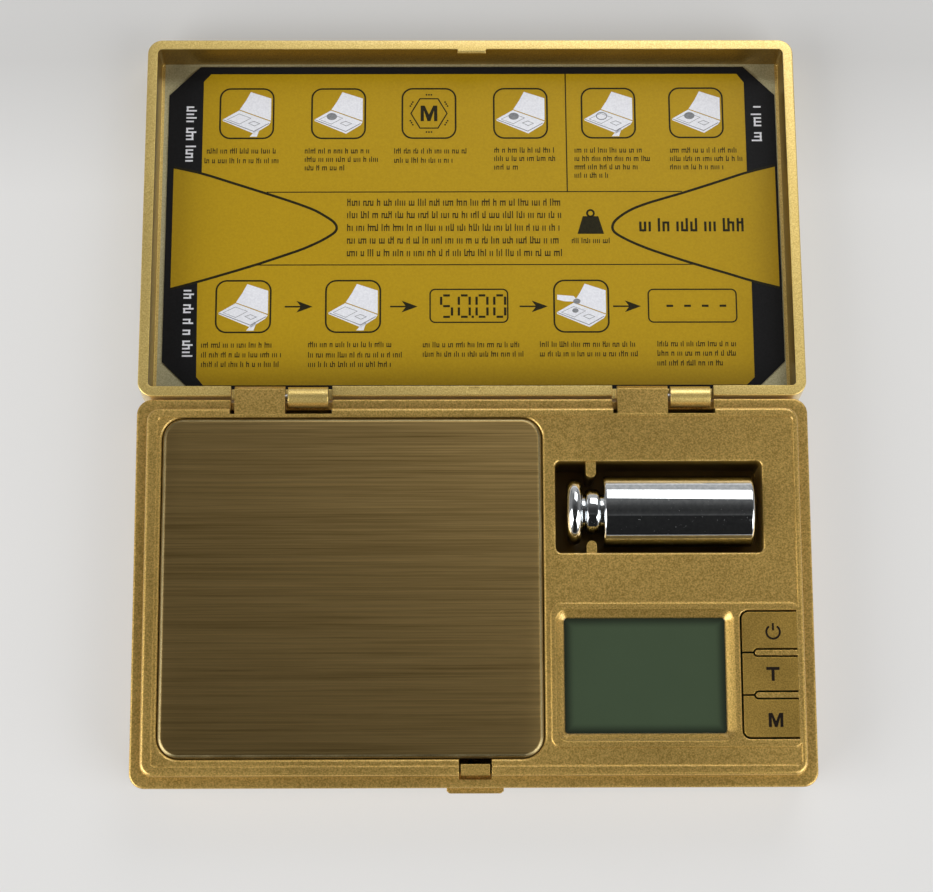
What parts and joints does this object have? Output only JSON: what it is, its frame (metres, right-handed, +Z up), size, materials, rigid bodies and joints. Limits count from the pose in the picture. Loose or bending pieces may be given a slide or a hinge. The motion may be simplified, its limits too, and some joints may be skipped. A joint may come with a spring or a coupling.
{
  "type": "digital pocket scale",
  "caption": "Flat electronic pocket scale in a hinged case: brushed weighing platform, display, flexing keys, stored calibration weight and a fold-back lid with a printed card.",
  "frame": {"origin": "middle of the open scale's footprint, on the table", "axes": "+X to the right along the hinge line, +Y away from the user from the base towards the lid, +Z up"},
  "size_m": [0.142, 0.1652, 0.0211],
  "materials": {
    "gold_case": "moulded plastic with a satin metallic gold paint and a fine grain",
    "gold_key": "moulded plastic with a satin metallic gold paint",
    "bronze_steel": "steel sheet brushed from side to side and tinted bronze",
    "dark_plastic": "dark moulded plastic",
    "steel": "plain zinc plated steel",
    "aluminium": "milled aluminium",
    "potting": "white silicone potting",
    "ribbon": "grey flat cable",
    "board": "green lacquered fibreglass board",
    "chip": "black epoxy",
    "display": "grey-green liquid crystal glass",
    "window": "clear tinted acrylic window",
    "white_film": "white reflector sheet",
    "rubber_dark": "soft dark rubber",
    "battery": "shrink sleeve over a steel can",
    "spring_steel": "spring wire",
    "contact_metal": "plated contact sheet",
    "card": "laminated printed card in yellow and black",
    "chrome_weight": "turned steel with a polished chrome plating"
  },
  "bodies": {
    "base": {"base_tub": "gold_case", "top_shell": "gold_case", "load_cell": "aluminium", "gauge_cover": "potting", "load_cell_screws": "steel", "sensor_ribbon": "ribbon", "circuit_board": "board", "control_chip": "chip", "board_screws": "steel", "display_glass": "display", "display_window": "window", "display_reflector": "white_film", "contact_strip": "rubber_dark", "key_switches": "contact_metal", "latch_spring": "spring_steel", "battery_front": "battery", "battery_rear": "battery", "battery_contacts": "contact_metal", "battery_springs": "spring_steel", "foot_front_left": "rubber_dark", "foot_front_right": "rubber_dark", "foot_rear_left": "rubber_dark", "foot_rear_right": "rubber_dark", "case_screws": "steel", "hinge_pin_left": "steel", "hinge_pin_right": "steel"},
    "platform": {"weighing_platform": "bronze_steel", "platform_carrier": "dark_plastic", "carrier_screws": "steel"},
    "power_key": {"key_power": "gold_key"},
    "tare_key": {"key_tare": "gold_key"},
    "mode_key": {"key_mode": "gold_key"},
    "latch": {"latch_button": "gold_case"},
    "door": {"battery_door": "gold_case"},
    "lid": {"lid_shell": "gold_case", "instruction_card": "card"},
    "weight": {"calibration_weight": "chrome_weight"}
  },
  "joints": [
    {"name": "lid_hinge", "type": "hinge", "parent": "base", "child": "lid", "pos_m": [0, 0.0006, 0.0149], "axis": [1, 0, 0], "range_deg": [0, 184.06]},
    {"name": "platform_press", "type": "slide", "parent": "base", "child": "platform", "axis": [0, 0, -1], "range_m": [0, 0.00035], "stiffness_N_per_m": 14000, "deforming": ["load_cell"]},
    {"name": "power_key_press", "type": "hinge", "parent": "base", "child": "power_key", "pos_m": [0.06705, -0.04991, 0.0163], "axis": [0, -1, 0], "range_deg": [0, 2], "stiffness_Nm_per_rad": 0.34},
    {"name": "tare_key_press", "type": "hinge", "parent": "base", "child": "tare_key", "pos_m": [0.06705, -0.05854, 0.0163], "axis": [0, -1, 0], "range_deg": [0, 2], "stiffness_Nm_per_rad": 0.34},
    {"name": "mode_key_press", "type": "hinge", "parent": "base", "child": "mode_key", "pos_m": [0.06705, -0.06727, 0.0163], "axis": [0, -1, 0], "range_deg": [0, 2], "stiffness_Nm_per_rad": 0.34},
    {"name": "latch_press", "type": "slide", "parent": "base", "child": "latch", "axis": [0, 1, 0], "range_m": [0, 0.001], "stiffness_N_per_m": 800, "deforming": ["latch_spring"]},
    {"name": "battery_door_swing", "type": "hinge", "parent": "base", "child": "door", "pos_m": [-0.02745, -0.05025, 0.0006], "axis": [1, 0, 0], "range_deg": [0, 75]},
    {"name": "weight_lift", "type": "slide", "parent": "base", "child": "weight", "axis": [0, 0, 1], "range_m": [0, 0.03]}
  ]
}
